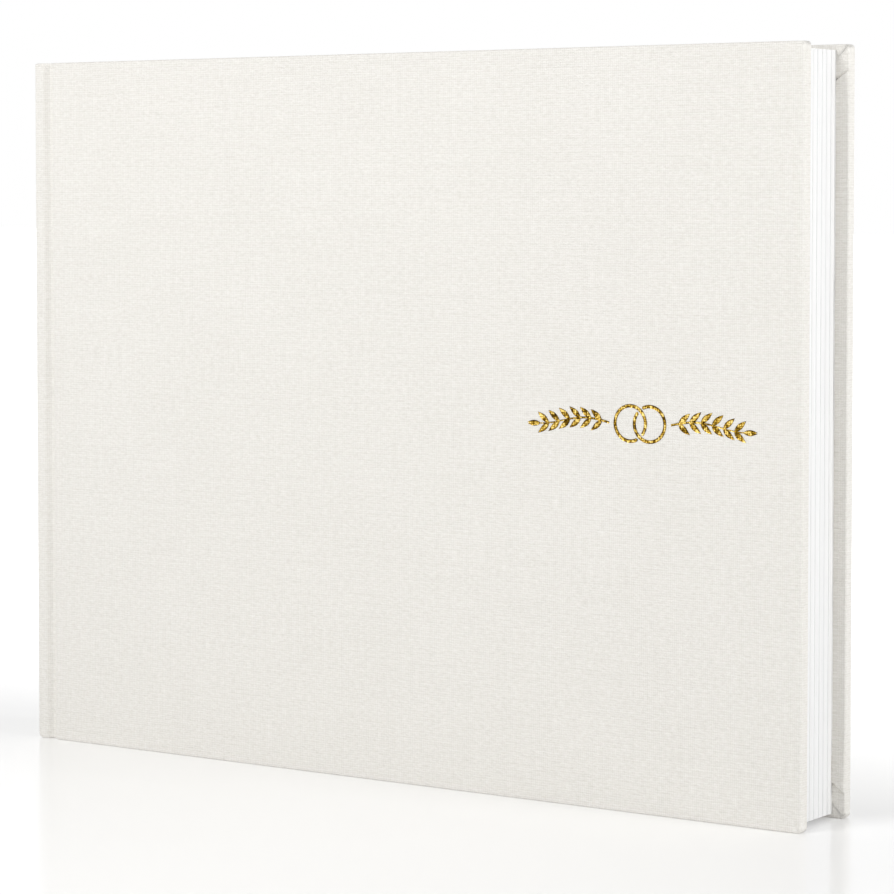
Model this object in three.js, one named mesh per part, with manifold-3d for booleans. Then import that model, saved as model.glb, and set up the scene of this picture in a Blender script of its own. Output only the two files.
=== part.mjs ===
// Landscape guest book, case bound in linen bookcloth, standing on its tail edge.
// Width runs along X from the spine (-X) to the fore-edge (+X), thickness along Y with the
// front cover at -Y, and height along Z. Millimetres.
import * as THREE from 'three';
import { mergeVertices } from 'three/addons/utils/BufferGeometryUtils.js';
import Module from 'manifold-3d';

const wasm = await Module();
wasm.setup();

// The case: two cover boards and a spine board, covered with one layer of cloth.
const WIDTH = 228.6;
const HEIGHT = 177.8;
const THICKNESS = 24;
const CLOTH = 0.4;
const BOARD = 2.2;
const SPINE_BOARD = 2.34;
const TURN_IN = 15;
const JOINT = 4.5;
const GROOVE_DEPTH = 0.55;
const EDGE_ROUND = 0.5;
const CORNER_ROUND = 1.1;
const SPINE_ROUND = 1.6;
const MITRE_SEAM = 0.3;
const MITRE_START = 1;

// The sewn block of sections.
const SECTIONS = 8;
const FORE_EDGE_SQUARE = 3.3;
const HEAD_SQUARE = 1.3;
const TAIL_SQUARE = 1;
const BLOCK = 17.2;
const GUTTER = 14;
const LEAF_GAP = 0.05;
const SPINE_SPACE = 0.9;

// Paper, thread and linings.
const PAPER = 0.15;
const LINING = 0.17;
const FLANGE = 25;
const FLANGE_INSET = 1;
const GLUE_INSET = 1;
const LINING_INSET = 2;
const THREAD = 0.5;
const THREAD_ROOM = 0.2;
const THREAD_DEPTH = 1.6;
const KETTLE_INSET = 16;
const BAND_RADIUS = 0.4;
const BAND_DEPTH = 8;

// Gold foil: two linked rings between two leafy sprigs, pressed into the front cloth.
const FOIL = 0.1;
const FOIL_SINK = 0.05;
const FOIL_ROOM = 0.04;
const ORNAMENT_X = 71.7;
const ORNAMENT_Z = 90.7;
const RING_RADIUS = 4.1;
const RING_STROKE = 0.8;
const RING_APART = 5.2;
const RING_GAP = 0.3;
const SPRIG_START = 8.3;
const SPRIG_END = 27.6;
const SPRIG_WAVE = 0.9;
const STEM = 0.5;
const LEAF_PAIRS = 6;
const LEAF_LENGTH = 3.9;
const LEAF_WIDTH = 1.35;
const LEAF_ANGLE = Math.PI / 4.6;
const LEAF_BASE = 0.1;
const LEAF_TIP = 0.94;
const LEAF_SHAPE = 0.8;
const FIRST_LEAF = 0.7;
const BARE_STEM = 0.6;

// Pieces that lie flat against each other are this far apart.
const FIT = 0.03;

// How far a cutting body runs past what it cuts, and how finely curves are divided.
const PAST = 1;
const EDGE_STEPS = 3;
const CORNER_STEPS = 5;
const FOLD_STEPS = 8;
const GROOVE_STEPS = 8;
const BEAD_STEPS = 16;
const HOOP_STEPS = 40;
const STEM_STEPS = 18;
const LEAF_STEPS = 6;

const SPINE_X = -WIDTH / 2;
const FORE_EDGE_X = WIDTH / 2;
const FACE = THICKNESS / 2;
const SPINE_INNER = SPINE_X + CLOTH + SPINE_BOARD;
const SPINE_TURN = SPINE_INNER + CLOTH;
const JOINT_X0 = SPINE_TURN + FIT;
const COVER_X0 = JOINT_X0 + JOINT;
const BOARD_OUT = FACE - CLOTH - FIT;
const BOARD_IN = BOARD_OUT - BOARD + 2 * FIT;
const COVER_IN = BOARD_IN - FIT - CLOTH;
const BLOCK_FACE = BLOCK / 2;
const FOLD_X = SPINE_TURN + SPINE_SPACE;
const LEAF_END = FORE_EDGE_X - FORE_EDGE_SQUARE;
const LEAF_START = FOLD_X + GUTTER;
const TAIL = TAIL_SQUARE;
const HEAD = HEIGHT - HEAD_SQUARE;
const PITCH = BLOCK / SECTIONS;
const SPAN = 2 * WIDTH;

const LOOKS = {
  cloth: { color: [0.86, 0.84, 0.79], roughness: 0.85, metalness: 0 },
  board: { color: [0.55, 0.5, 0.44], roughness: 0.9, metalness: 0 },
  paper: { color: [0.93, 0.93, 0.92], roughness: 0.8, metalness: 0 },
  gauze: { color: [0.88, 0.86, 0.8], roughness: 0.95, metalness: 0 },
  thread: { color: [0.9, 0.88, 0.82], roughness: 0.8, metalness: 0 },
  glue: { color: [0.85, 0.8, 0.66], roughness: 0.5, metalness: 0 },
  foil: { color: [0.83, 0.63, 0.3], roughness: 0.25, metalness: 1 },
  band: { color: [0.9, 0.88, 0.83], roughness: 0.7, metalness: 0 },
};

function material(name) {
  const { color, roughness, metalness } = LOOKS[name];
  return new THREE.MeshStandardMaterial({
    color: new THREE.Color(...color),
    roughness,
    metalness,
  });
}

// Solids are joined and cut here, then go back to plain triangles.
function solid(geometry) {
  const bare = geometry.clone();
  bare.deleteAttribute('normal');
  bare.deleteAttribute('uv');
  const merged = mergeVertices(bare, 1e-5);
  return new wasm.Manifold(new wasm.Mesh({
    numProp: 3,
    vertProperties: new Float32Array(merged.attributes.position.array),
    triVerts: new Uint32Array(merged.index.array),
  }));
}

function triangles(body) {
  const mesh = body.getMesh();
  const geometry = new THREE.BufferGeometry();
  geometry.setAttribute('position', new THREE.BufferAttribute(mesh.vertProperties, 3));
  geometry.setIndex(new THREE.BufferAttribute(mesh.triVerts, 1));
  geometry.computeVertexNormals();
  return geometry;
}

function part(name, body, look) {
  const mesh = new THREE.Mesh(triangles(body), look);
  mesh.name = name;
  return mesh;
}

// A square-edged block between two corners; the ends of each span may come in either order.
function block([xa, xb], [ya, yb], [za, zb]) {
  const box = new THREE.BoxGeometry(Math.abs(xb - xa), Math.abs(yb - ya), Math.abs(zb - za));
  box.translate((xa + xb) / 2, (ya + yb) / 2, (za + zb) / 2);
  return solid(box);
}

function outline(points) {
  return new THREE.Shape(points.map(([u, v]) => new THREE.Vector2(u, v)));
}

// A profile drawn in X and Y, carried straight up from z0 to z1.
function upright(shape, z0, z1) {
  const body = new THREE.ExtrudeGeometry(shape, { depth: z1 - z0, bevelEnabled: false });
  body.translate(0, 0, z0);
  return solid(body);
}

// A profile drawn in X and Z, carried through the thickness from y0 to y1 (y0 < y1).
function pressed(shape, y0, y1, round = 0) {
  const body = new THREE.ExtrudeGeometry(shape, {
    depth: y1 - y0 - 2 * round,
    bevelEnabled: round > 0,
    bevelThickness: round,
    bevelSize: round,
    bevelOffset: -round,
    bevelSegments: EDGE_STEPS,
    curveSegments: CORNER_STEPS,
  });
  body.rotateX(Math.PI / 2);
  body.translate(0, y1 - round, 0);
  return solid(body);
}

function arc(cx, cy, radius, from, to, steps) {
  return Array.from({ length: steps + 1 }, (_, i) => {
    const turn = from + ((to - from) * i) / steps;
    return [cx + radius * Math.cos(turn), cy + radius * Math.sin(turn)];
  });
}

// A rectangle in X and Z with its two fore-edge corners rounded.
function coverOutline(x0, x1, z0, z1, radius) {
  return outline([
    [x0, z1],
    [x0, z0],
    ...arc(x1 - radius, z0 + radius, radius, -Math.PI / 2, 0, CORNER_STEPS),
    ...arc(x1 - radius, z1 - radius, radius, 0, Math.PI / 2, CORNER_STEPS),
  ]);
}

// A rectangle in X and Y with its two outer spine corners rounded.
function spineOutline(x0, x1, half, radius) {
  return outline([
    [x1, -half],
    [x1, half],
    ...arc(x0 + radius, half - radius, radius, Math.PI / 2, Math.PI, CORNER_STEPS),
    ...arc(x0 + radius, -half + radius, radius, Math.PI, 1.5 * Math.PI, CORNER_STEPS),
  ]);
}

// Span of Y on one side of the book: side -1 is the front, +1 the back.
function across(side, near, far) {
  return [side * near, side * far].sort((a, b) => a - b);
}

function boardBody(side, grow) {
  const [y0, y1] = across(side, BOARD_IN - grow, BOARD_OUT + grow);
  const inset = CLOTH + FIT - grow;
  const shape = coverOutline(
    COVER_X0 - grow,
    FORE_EDGE_X - inset,
    inset,
    HEIGHT - inset,
    CORNER_ROUND - CLOTH,
  );
  return pressed(shape, y0, y1);
}

function coverBoard(name, side) {
  return part(name, boardBody(side, 0), material('board'));
}

// The cut of each mitre, where two turn-ins meet on the inside corner of a board.
function mitreSeam(side, z, up) {
  const reach = TURN_IN * Math.SQRT2 + 2 * PAST;
  const slot = new THREE.BoxGeometry(reach, CLOTH, MITRE_SEAM);
  slot.translate(-reach / 2 - MITRE_START, 0, 0);
  slot.rotateY(up * (Math.PI / 4));
  slot.translate(FORE_EDGE_X, side * (COVER_IN - FIT), z);
  return solid(slot);
}

// Cloth over one board: the outer face, three wrapped edges and the mitred turn-ins.
function coverCloth(name, side, recess) {
  const [y0, y1] = across(side, COVER_IN, FACE);
  const shape = coverOutline(COVER_X0 - JOINT, FORE_EDGE_X, 0, HEIGHT, CORNER_ROUND);
  let body = pressed(shape, y0, y1, EDGE_ROUND);
  body = body.subtract(block([-SPAN, COVER_X0], [-SPAN, SPAN], [-SPAN, SPAN]));
  body = body.subtract(boardBody(side, FIT));
  body = body.subtract(block(
    [-SPAN, FORE_EDGE_X - TURN_IN],
    across(side, 0, BOARD_IN),
    [TURN_IN, HEIGHT - TURN_IN],
  ));
  body = body.subtract(mitreSeam(side, 0, 1));
  body = body.subtract(mitreSeam(side, HEIGHT, -1));
  if (recess) {
    body = body.subtract(recess);
  }
  return part(name, body, material('cloth'));
}

// The mull's flange, glued flat on the inside of the board beside the joint.
function mullFlange(name, side) {
  const body = block(
    [COVER_X0, COVER_X0 + FLANGE],
    across(side, BOARD_IN - FIT - LINING, BOARD_IN - FIT),
    [TURN_IN + FLANGE_INSET, HEIGHT - TURN_IN - FLANGE_INSET],
  );
  return part(name, body, material('gauze'));
}

// The glued endpaper half: it lies on the turn-ins and dips to the board between them.
function pastedown(name, side) {
  const low = BOARD_IN - FIT;
  const high = COVER_IN - FIT;
  const flange = low - LINING - FIT;
  const outer = [COVER_X0, LEAF_END];
  const inner = [COVER_X0 + FLANGE + FIT, FORE_EDGE_X - TURN_IN - FIT];
  const tall = [TURN_IN + FIT, HEIGHT - TURN_IN - FIT];
  let body = block(outer, across(side, high - PAPER, high), [TAIL, HEAD]);
  body = body.add(block([outer[0], inner[1]], across(side, high - PAPER, low), tall));
  body = body.subtract(block(
    [-SPAN, inner[0]],
    across(side, flange, FACE),
    [tall[0] - PAST, tall[1] + PAST],
  ));
  body = body.subtract(block(
    [inner[0] + PAPER, inner[1] - PAPER],
    across(side, 0, low - PAPER),
    [tall[0] + PAPER, tall[1] - PAPER],
  ));
  body = body.subtract(block(
    [-SPAN, inner[0] + 2 * PAPER],
    across(side, 0, flange - PAPER),
    [tall[0] + PAPER, tall[1] - PAPER],
  ));
  return part(name, body, material('paper'));
}

// Cloth that bends at the joint, sunk in a shallow groove and doubled at head and tail.
function jointCloth(name, side) {
  const x0 = JOINT_X0;
  const x1 = COVER_X0 - FIT;
  const middle = (x0 + x1) / 2;
  const dip = (x, outer) => {
    const away = Math.min(1, Math.abs(x - middle) / (JOINT / 2));
    return side * (outer - GROOVE_DEPTH * (0.5 + 0.5 * Math.cos(Math.PI * away)));
  };
  const xs = Array.from(
    { length: GROOVE_STEPS + 1 },
    (_, i) => x0 + ((x1 - x0) * i) / GROOVE_STEPS,
  );
  const strip = (near, far, z0, z1) => upright(outline([
    ...xs.map((x) => [x, dip(x, near)]),
    ...xs.toReversed().map((x) => [x, dip(x, far)]),
  ]), z0, z1);
  let body = strip(FACE, FACE - CLOTH, FIT, HEIGHT - FIT);
  body = body.add(strip(FACE - CLOTH / 2, FACE - 2 * CLOTH, FIT, TURN_IN));
  body = body.add(strip(FACE - CLOTH / 2, FACE - 2 * CLOTH, HEIGHT - TURN_IN, HEIGHT - FIT));
  return part(name, body, material('cloth'));
}

function spineBoardBody(grow) {
  const inset = CLOTH + FIT - grow;
  return upright(
    spineOutline(SPINE_X + inset, SPINE_INNER - FIT + grow, FACE - inset, SPINE_ROUND - CLOTH),
    inset,
    HEIGHT - inset,
  );
}

function spineBoard() {
  return part('spine_board', spineBoardBody(0), material('board'));
}

// Cloth round the spine board: outside, both long edges, and a turn-in at head and tail.
function spineCloth() {
  const shape = spineOutline(SPINE_X, SPINE_TURN + PAST, FACE, SPINE_ROUND);
  const round = new THREE.ExtrudeGeometry(shape, {
    depth: HEIGHT - 2 * EDGE_ROUND,
    bevelEnabled: true,
    bevelThickness: EDGE_ROUND,
    bevelSize: EDGE_ROUND,
    bevelOffset: -EDGE_ROUND,
    bevelSegments: EDGE_STEPS,
  });
  round.translate(0, 0, EDGE_ROUND);
  let body = solid(round);
  body = body.subtract(block([SPINE_TURN, SPAN], [-SPAN, SPAN], [-SPAN, SPAN]));
  body = body.subtract(spineBoardBody(FIT));
  body = body.subtract(block(
    [SPINE_INNER - CLOTH, SPAN],
    [CLOTH - FACE, FACE - CLOTH],
    [TURN_IN, HEIGHT - TURN_IN],
  ));
  return part('spine_cloth', body, material('cloth'));
}

// Middle of section number `index` through the thickness of the book.
function sectionY(index) {
  return -BLOCK_FACE + PITCH * (index + 0.5);
}

// Thread along the middle of every fold, with a kettle stitch across the folds at each end.
function threadBody(grow) {
  const half = THREAD / 2 + grow;
  const ends = [TAIL + KETTLE_INSET, HEAD - KETTLE_INSET];
  const deep = FOLD_X + THREAD_DEPTH;
  const first = sectionY(0);
  const last = sectionY(SECTIONS - 1);
  const shallow = FOLD_X + THREAD / 2 + FIT;
  const pieces = [];
  for (const z of ends) {
    pieces.push(block(
      [shallow - half, shallow + half],
      [first - half - grow, last + half + grow],
      [z - half, z + half],
    ));
  }
  for (let i = 0; i < SECTIONS; i += 1) {
    const y = sectionY(i);
    const wide = [y - half, y + half];
    pieces.push(block([deep - half, deep + half], wide, [ends[0] - half, ends[1] + half]));
    for (const z of ends) {
      pieces.push(block([shallow, deep + half], wide, [z - half, z + half]));
    }
  }
  return pieces.reduce((body, piece) => body.add(piece));
}

// The folded backs of one section, from the spine to where its leaves begin to turn.
function sectionFold(index, thread) {
  const y = sectionY(index);
  const half = (PITCH - LEAF_GAP) / 2;
  const shape = outline([
    [LEAF_START - LEAF_GAP, -half + y],
    [LEAF_START - LEAF_GAP, half + y],
    ...arc(FOLD_X + half, y, half, Math.PI / 2, 1.5 * Math.PI, FOLD_STEPS),
  ]);
  const body = upright(shape, TAIL, HEAD).subtract(thread);
  return part(`section_${index + 1}_fold`, body, material('paper'));
}

function sectionLeaves(index) {
  const y = sectionY(index);
  const half = (PITCH - LEAF_GAP) / 2;
  const body = block([LEAF_START, LEAF_END], [y - half, y + half], [TAIL, HEAD]);
  return part(`section_${index + 1}_leaves`, body, material('paper'));
}

function flyleaf(name, side) {
  const near = BLOCK_FACE + FIT;
  const body = block([LEAF_START, LEAF_END], across(side, near, near + PAPER), [TAIL, HEAD]);
  return part(name, body, material('paper'));
}

// The endpaper's fold: it joins the pastedown at the joint to the flyleaf in the gutter.
function endpaperFold(name, side) {
  const near = BLOCK_FACE + FIT;
  const far = near + 2 * PAPER + FIT;
  const turn = (far - near) / 2;
  const x0 = FOLD_X + turn;
  const tall = [TAIL, HEAD];
  let body = block([x0, LEAF_START - FIT], across(side, near, near + PAPER), tall);
  body = body.add(block([x0, COVER_X0 - FIT], across(side, far - PAPER, far), tall));
  body = body.add(block([x0 - PAPER, x0], across(side, near, far), tall));
  return part(name, body, material('paper'));
}

// A flat layer glued down the back of the sections, numbered outward from the folds.
function backing(name, layer, inset, look) {
  const x1 = FOLD_X - FIT - layer * (LINING + FIT);
  const body = block(
    [x1 - LINING, x1],
    [-BLOCK_FACE, BLOCK_FACE],
    [TAIL + inset, HEAD - inset],
  );
  return part(name, body, look);
}

// Open gauze over the glued back, returned on to the outer leaf at each joint.
function mull() {
  const x1 = FOLD_X - FIT - (LINING + FIT);
  const tall = [TAIL + KETTLE_INSET / 2, HEAD - KETTLE_INSET / 2];
  const face = BLOCK_FACE + 3 * FIT + 2 * PAPER;
  let body = block([x1 - LINING, x1], [-face - LINING, face + LINING], tall);
  for (const side of [-1, 1]) {
    body = body.add(block(
      [x1 - LINING, COVER_X0 - 2 * FIT],
      across(side, face, face + LINING),
      tall,
    ));
  }
  return part('mull', body, material('gauze'));
}

// Woven band: a round bead over the folds and a flat tail glued down the back.
function bookBand(name, end, up) {
  const x1 = FOLD_X - FIT - 2 * (LINING + FIT);
  const bead = new THREE.CylinderGeometry(BAND_RADIUS, BAND_RADIUS, BLOCK, BEAD_STEPS);
  const z = end + up * (BAND_RADIUS + FIT);
  bead.translate(x1 - LINING + BAND_RADIUS, 0, z);
  const flat = block(
    [x1 - LINING, x1],
    [-BLOCK_FACE, BLOCK_FACE],
    [end - up * BAND_DEPTH, z],
  );
  return part(name, solid(bead).add(flat), material('band'));
}

// A flat hoop in X and Z; `wider` thickens it evenly on both edges.
function hoop(centre, wider, y0, y1) {
  const half = RING_STROKE / 2 + wider;
  const circle = (radius) => outline(
    arc(centre, ORNAMENT_Z, radius, 0, 2 * Math.PI, HOOP_STEPS).slice(1),
  );
  const hole = pressed(circle(RING_RADIUS - half), y0 - PAST, y1 + PAST);
  return pressed(circle(RING_RADIUS + half), y0, y1).subtract(hole);
}

// One ring of the pair, broken where the other passes over it. `end` is -1 left, +1 right.
function ringBody(end, y0, y1, grow) {
  const ring = hoop(ORNAMENT_X + (end * RING_APART) / 2, grow, y0, y1);
  const other = ORNAMENT_X - (end * RING_APART) / 2;
  const over = hoop(other, RING_GAP - grow, y0 - PAST, y1 + PAST);
  const where = end > 0 ? [ORNAMENT_Z, SPAN] : [-SPAN, ORNAMENT_Z];
  return ring.subtract(over.intersect(block([-SPAN, SPAN], [-SPAN, SPAN], where)));
}

// Stem of a sprig: height above the ornament's middle at a distance `u` from it.
function stemHeight(u) {
  return SPRIG_WAVE * Math.sin((1.5 * Math.PI * (u - SPRIG_START)) / (SPRIG_END - SPRIG_START));
}

// A pointed leaf that starts on the stem at distance `u` and leans by `lean`.
function leafOutline(end, u, lean, grow) {
  const length = LEAF_LENGTH + 2 * grow;
  const along = Array.from({ length: LEAF_STEPS + 1 }, (_, i) => i / LEAF_STEPS);
  const swell = (t) => Math.sin(Math.PI * Math.min(LEAF_TIP, Math.max(LEAF_BASE, t)) ** LEAF_SHAPE);
  const edge = (sign) => (t) => [
    t * length - grow,
    sign * (LEAF_WIDTH / 2 + grow) * swell(t),
  ];
  const points = [...along.map(edge(-1)), ...along.toReversed().map(edge(1))];
  return outline(points.map(([a, b]) => [
    ORNAMENT_X + end * (u + a * Math.cos(lean) - b * Math.sin(lean)),
    ORNAMENT_Z + stemHeight(u) + a * Math.sin(lean) + b * Math.cos(lean),
  ]));
}

// A leafy sprig beside the rings. `end` is -1 left, +1 right.
function sprigBody(end, y0, y1, grow) {
  const half = STEM / 2 + grow;
  const reach = SPRIG_END - SPRIG_START + 2 * grow;
  const us = Array.from(
    { length: STEM_STEPS + 1 },
    (_, i) => SPRIG_START - grow + (reach * i) / STEM_STEPS,
  );
  const place = (u, lift) => [ORNAMENT_X + end * u, ORNAMENT_Z + stemHeight(u) + lift];
  const stem = outline([
    ...us.map((u) => place(u, -half)),
    ...us.toReversed().map((u) => place(u, half)),
  ]);
  let body = pressed(stem, y0, y1);
  const leaves = [[SPRIG_END - STEM, 0]];
  for (let i = 0; i < LEAF_PAIRS; i += 1) {
    const share = (i + FIRST_LEAF) / (LEAF_PAIRS + BARE_STEM);
    const u = SPRIG_START + share * (SPRIG_END - SPRIG_START);
    leaves.push([u, LEAF_ANGLE], [u, -LEAF_ANGLE]);
  }
  for (const [u, lean] of leaves) {
    body = body.add(pressed(leafOutline(end, u, lean, grow), y0, y1));
  }
  return body;
}

// All the foil, each piece as a body to lay in the cloth, or the recess it lies in.
function foilPieces(grow) {
  const y0 = -FACE + FOIL_SINK - grow;
  const y1 = -FACE + FOIL_SINK + FOIL + grow;
  return {
    foil_ring_left: ringBody(-1, y0, y1, grow),
    foil_ring_right: ringBody(1, y0, y1, grow),
    foil_sprig_left: sprigBody(-1, y0, y1, grow),
    foil_sprig_right: sprigBody(1, y0, y1, grow),
  };
}

function foilRecess() {
  const pressedIn = Object.values(foilPieces(FOIL_ROOM)).reduce((body, piece) => body.add(piece));
  return pressedIn.add(pressedIn.translate([0, -FOIL_SINK - FOIL_ROOM, 0]));
}

function group(name, parts) {
  const assembly = new THREE.Group();
  assembly.name = name;
  assembly.add(...parts);
  return assembly;
}

function coverParts(word, side, extras, recess) {
  return group(`${word}_cover`, [
    coverBoard(`${word}_board`, side),
    coverCloth(`${word}_cover_cloth`, side, recess),
    mullFlange(`${word}_mull_flange`, side),
    pastedown(`${word}_pastedown`, side),
    ...extras,
  ]);
}

function spineParts() {
  const thread = threadBody(THREAD_ROOM);
  const folds = Array.from({ length: SECTIONS }, (_, i) => sectionFold(i, thread));
  return group('binding', [
    spineBoard(),
    spineCloth(),
    jointCloth('front_joint_cloth', -1),
    jointCloth('back_joint_cloth', 1),
    endpaperFold('front_endpaper_fold', -1),
    endpaperFold('back_endpaper_fold', 1),
    part('sewing_thread', threadBody(0), material('thread')),
    backing('spine_glue', 0, GLUE_INSET, material('glue')),
    mull(),
    bookBand('head_band', HEAD, 1),
    bookBand('tail_band', TAIL, -1),
    backing('spine_lining', 3, LINING_INSET, material('paper')),
    ...folds,
  ]);
}

const foil = Object.entries(foilPieces(0)).map(([name, body]) => (
  part(name, body, material('foil'))
));

const book = new THREE.Group();
book.name = 'guest_book';
book.add(
  spineParts(),
  coverParts('front', -1, foil, foilRecess()),
  coverParts('back', 1, [], null),
  flyleaf('front_flyleaf', -1),
  flyleaf('back_flyleaf', 1),
  group('sections', Array.from({ length: SECTIONS }, (_, i) => sectionLeaves(i))),
);

export default book;
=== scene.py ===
"""Guest book bound in linen bookcloth, standing on its tail edge on a pale floor.

X runs from the spine to the fore-edge, Y from the front cover to the back cover, and Z is up.
Lengths are in metres.
"""
import math

import bmesh
import bpy
import numpy as np
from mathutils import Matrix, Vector


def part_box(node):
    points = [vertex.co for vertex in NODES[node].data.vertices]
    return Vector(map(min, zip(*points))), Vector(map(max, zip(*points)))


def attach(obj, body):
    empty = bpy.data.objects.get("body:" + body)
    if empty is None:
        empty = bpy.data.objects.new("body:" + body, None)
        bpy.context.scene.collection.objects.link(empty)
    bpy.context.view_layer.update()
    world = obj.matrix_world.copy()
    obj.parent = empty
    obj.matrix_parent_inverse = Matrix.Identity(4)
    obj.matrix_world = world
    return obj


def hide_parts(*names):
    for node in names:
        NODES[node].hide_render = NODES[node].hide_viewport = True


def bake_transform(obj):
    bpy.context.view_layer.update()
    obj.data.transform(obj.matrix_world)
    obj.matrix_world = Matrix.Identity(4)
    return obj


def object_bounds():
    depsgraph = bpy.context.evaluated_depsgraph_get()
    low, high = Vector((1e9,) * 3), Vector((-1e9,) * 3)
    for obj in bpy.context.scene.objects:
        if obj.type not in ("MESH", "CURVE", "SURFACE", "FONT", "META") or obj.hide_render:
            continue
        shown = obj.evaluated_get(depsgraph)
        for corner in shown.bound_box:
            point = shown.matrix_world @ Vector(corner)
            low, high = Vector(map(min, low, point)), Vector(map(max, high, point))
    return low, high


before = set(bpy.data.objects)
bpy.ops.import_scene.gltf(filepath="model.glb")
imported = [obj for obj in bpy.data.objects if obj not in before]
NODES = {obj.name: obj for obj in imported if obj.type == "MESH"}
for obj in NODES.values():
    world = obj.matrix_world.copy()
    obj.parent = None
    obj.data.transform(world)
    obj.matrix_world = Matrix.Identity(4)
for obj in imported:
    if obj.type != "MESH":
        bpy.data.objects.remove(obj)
cad_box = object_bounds()

MM = 0.001


# ---------------------------------------------------------------- driving sizes

def corner_pair(node):
    """Lowest and highest corner of a CAD node, as two arrays."""
    low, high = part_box(node)
    return np.array(low), np.array(high)


LOW, HIGH = (np.array(c) for c in cad_box)
WIDTH_HALF = HIGH[0]
FACE = HIGH[1]
HEIGHT = HIGH[2]

SPINE_TURN = corner_pair("spine_cloth")[1][0]
COVER_START = corner_pair("front_cover_cloth")[0][0]
COVER_IN = -corner_pair("front_cover_cloth")[1][1]
BOARD_IN = -corner_pair("front_board")[1][1]
FOLD_X, _, TAIL = corner_pair("section_1_fold")[0]
LEAF_START = corner_pair("section_1_leaves")[0][0]
LEAF_END, _, HEAD = corner_pair("section_1_leaves")[1]
BLOCK_FACE = corner_pair("spine_glue")[1][1]
SECTIONS = sum(name.endswith("_leaves") for name in NODES)
PITCH = 2 * BLOCK_FACE / SECTIONS

# The case: cloth, its rounded edges and corners, the groove and the spine's pinched ends.
CLOTH = 0.4 * MM
EDGE_ROUND = 0.42 * MM
HEAD_CORNER = 0.9 * MM
TAIL_CORNER = 1.2 * MM
SPINE_ROUND = 1.6 * MM
GROOVE = 1.1 * MM
HEAD_PINCH = 0.5 * MM
TAIL_PINCH = 1.3 * MM

# The turn-ins: HEM is where their rows begin on the face, the rest is the mitred corner.
TURN_IN = 15 * MM
HEM = 2.2 * MM
CORNER_SPAN = 20 * MM
FOLD_ROUND = 0.35 * MM
FOLD_START = 0.9 * MM
SEAM_DROP = 4.6 * MM
FLAP = 0.3 * MM
FLAP_FADE = 9 * MM
SEAM_GAP = 0.34 * MM
HEAD_LUMP = 0.24 * MM
TAIL_LUMP = 0.06 * MM

# Paper, and the stamped ornament with its foil.
SHEETS = 5
LEAF = 0.19 * MM
PAPER = 0.16 * MM
PRESS = 0.16 * MM
FOIL = 0.03 * MM
FOIL_PROUD = 0.01 * MM
FOIL_DISH = 0.055 * MM
RING_HALF = 0.4 * MM
RING_CLEAR = 0.3 * MM
SPRIG_START = 8.3 * MM
SPRIG_END = 27.6 * MM
SPRIG_WAVE = 0.9 * MM
STEM_HALF = 0.25 * MM
LEAF_PAIRS = 6
LEAF_LENGTH = 3.9 * MM
LEAF_HALF = 0.675 * MM
LEAF_LEAN = math.pi / 4.6

# Threads of the bookcloth and of the bands, and the light of the floor and the room.
WEAVE = 0.55 * MM
SILK_PITCH = 0.7 * MM
# FLOOR_GLOW and FAR_GLOW are the floor's painted glow, near the book and far from it.
FLOOR_GLOW = 0.11
FAR_GLOW = 0.5
ROOM_LIGHT = 0.44


# ---------------------------------------------------------------- mesh helpers

def ease(t):
    """Smooth step: 0 below 0, 1 above 1, 3t^2 - 2t^3 between."""
    t = np.clip(t, 0.0, 1.0)
    return t * t * (3 - 2 * t)


def hill(x, centre, width):
    """A bell of height 1: exp(-((x - centre) / width)^2)."""
    return np.exp(-(((x - centre) / width) ** 2))


def ripple(a, b, seed, waves=6):
    """Smooth wander between about -1 and 1: a sum of `waves` sines of a and b, seeded."""
    rng = np.random.default_rng(seed)
    total = np.zeros(np.broadcast(a, b).shape)
    for _ in range(waves):
        fa, fb, phase = rng.uniform(-1, 1), rng.uniform(-1, 1), rng.uniform(0, 2 * math.pi)
        total = total + np.sin(fa * a + fb * b + phase)
    return total / math.sqrt(waves)


def grid_faces(rows, columns, close_rows=False, close_columns=False):
    """Quads of a grid whose vertex (i, j) has index i * columns + j."""
    i = np.arange(rows if close_rows else rows - 1)
    j = np.arange(columns if close_columns else columns - 1)
    i, j = (a.ravel() for a in np.meshgrid(i, j, indexing="ij"))
    below, right = (i + 1) % rows, (j + 1) % columns
    return np.stack([
        i * columns + j, i * columns + right, below * columns + right, below * columns + j,
    ], axis=1)


def make_piece(name, parts, flip=False, weld=1e-6, uv=None):
    """One mesh from [(points, faces), ...]; faces keep their order, or turn round with flip."""
    points = np.concatenate([np.asarray(p, float).reshape(-1, 3) for p, _ in parts])
    start = np.cumsum([0] + [np.asarray(p).size // 3 for p, _ in parts[:-1]])
    faces = np.concatenate([f + s for (_, f), s in zip(parts, start)])
    if flip:
        faces = faces[:, ::-1]
    mesh = bpy.data.meshes.new(name)
    mesh.from_pydata(points.tolist(), [], faces.tolist())
    if uv is not None:
        layer = mesh.uv_layers.new(name="pattern")
        corner = np.zeros(len(mesh.loops), np.int32)
        mesh.loops.foreach_get("vertex_index", corner)
        flat = np.concatenate([np.asarray(u, float).reshape(-1, 2) for u in uv])
        layer.data.foreach_set("uv", flat[corner].astype(np.float32).ravel())
    piece = bpy.data.objects.new(name, mesh)
    bpy.context.scene.collection.objects.link(piece)
    if weld:
        weld_points(mesh, weld)
    mesh.polygons.foreach_set("use_smooth", np.ones(len(mesh.polygons), bool))
    return piece


def weld_points(mesh, distance):
    """Merges doubled vertices, so that seams and poles are closed."""
    work = bmesh.new()
    work.from_mesh(mesh)
    bmesh.ops.remove_doubles(work, verts=work.verts, dist=distance)
    bmesh.ops.dissolve_degenerate(work, edges=work.edges, dist=distance)
    work.to_mesh(mesh)
    work.free()


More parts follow.
